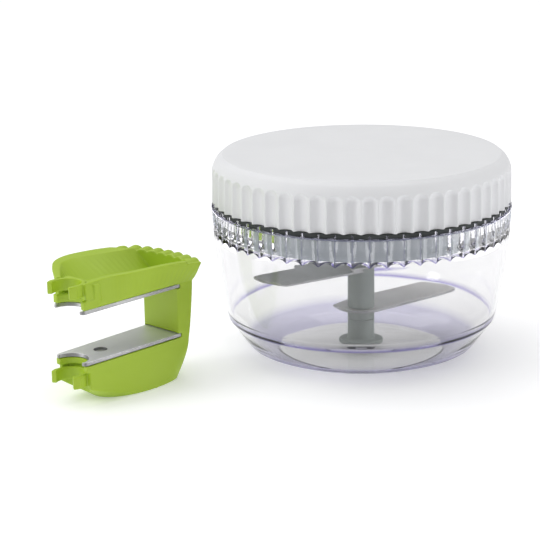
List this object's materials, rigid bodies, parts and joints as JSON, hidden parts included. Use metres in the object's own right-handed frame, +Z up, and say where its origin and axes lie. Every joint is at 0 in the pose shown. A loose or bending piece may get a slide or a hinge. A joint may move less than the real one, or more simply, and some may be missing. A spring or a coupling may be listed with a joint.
{
  "type": "hand twist food chopper",
  "caption": "Hand food chopper: a clear bowl with a fluted lid that is twisted by hand to turn a steel-bladed cutter, and a separate green counter-blade arm with steel shear plates.",
  "frame": {"origin": "centre of the bowl's flat base, on the plane it stands on", "axes": "+Z up along the axis that the lid and the cutter turn on, -Y towards the viewer, +X to the viewer's right; the arm stands at -X -Y"},
  "size_m": [0.194, 0.1481, 0.0892],
  "materials": {
    "clear_plastic": "clear, polished",
    "lid_plastic": "white, satin gloss",
    "liner_plastic": "grey, satin",
    "shaft_plastic": "grey, satin",
    "dark_plastic": "dark grey, satin",
    "arm_plastic": "lime green, satin gloss",
    "blade_steel": "finely ground",
    "steel": "plain"
  },
  "bodies": {
    "bowl": {"bowl": "clear_plastic", "pivot_pin": "steel"},
    "ring": {"bearing_ring": "dark_plastic"},
    "lid": {"lid_cap": "lid_plastic", "lid_liner": "liner_plastic", "drive_socket": "shaft_plastic", "liner_screw_1": "steel", "liner_screw_2": "steel", "liner_screw_3": "steel"},
    "cutter": {"foot_hub": "shaft_plastic", "lower_sleeve": "shaft_plastic", "lower_blade": "blade_steel", "middle_sleeve": "shaft_plastic", "upper_blade": "blade_steel", "upper_sleeve": "shaft_plastic", "spindle": "steel", "drive_head": "shaft_plastic", "head_screw": "steel"},
    "arm": {"arm_frame": "arm_plastic", "lower_plate": "blade_steel", "upper_plate": "blade_steel", "lower_plate_rivet": "steel", "upper_plate_rivet": "steel"}
  },
  "joints": [
    {"name": "lid_lift", "type": "slide", "parent": "bowl", "child": "ring", "axis": [0, 0, 1], "range_m": [0, 0.16]},
    {"name": "lid_twist", "type": "hinge", "parent": "ring", "child": "lid", "pos_m": [0, 0, 0], "axis": [0, 0, 1], "continuous": true},
    {"name": "cutter_draw", "type": "slide", "parent": "lid", "child": "cutter", "axis": [0, 0, -1], "range_m": [0, 0.08]},
    {"name": "arm_lift", "type": "slide", "parent": "bowl", "child": "arm", "axis": [0, 0, 1], "range_m": [0, 0.08]}
  ],
  "couplings": [
    {"joint": "cutter_draw", "follows": "lid_lift", "ratio": 0.5}
  ]
}
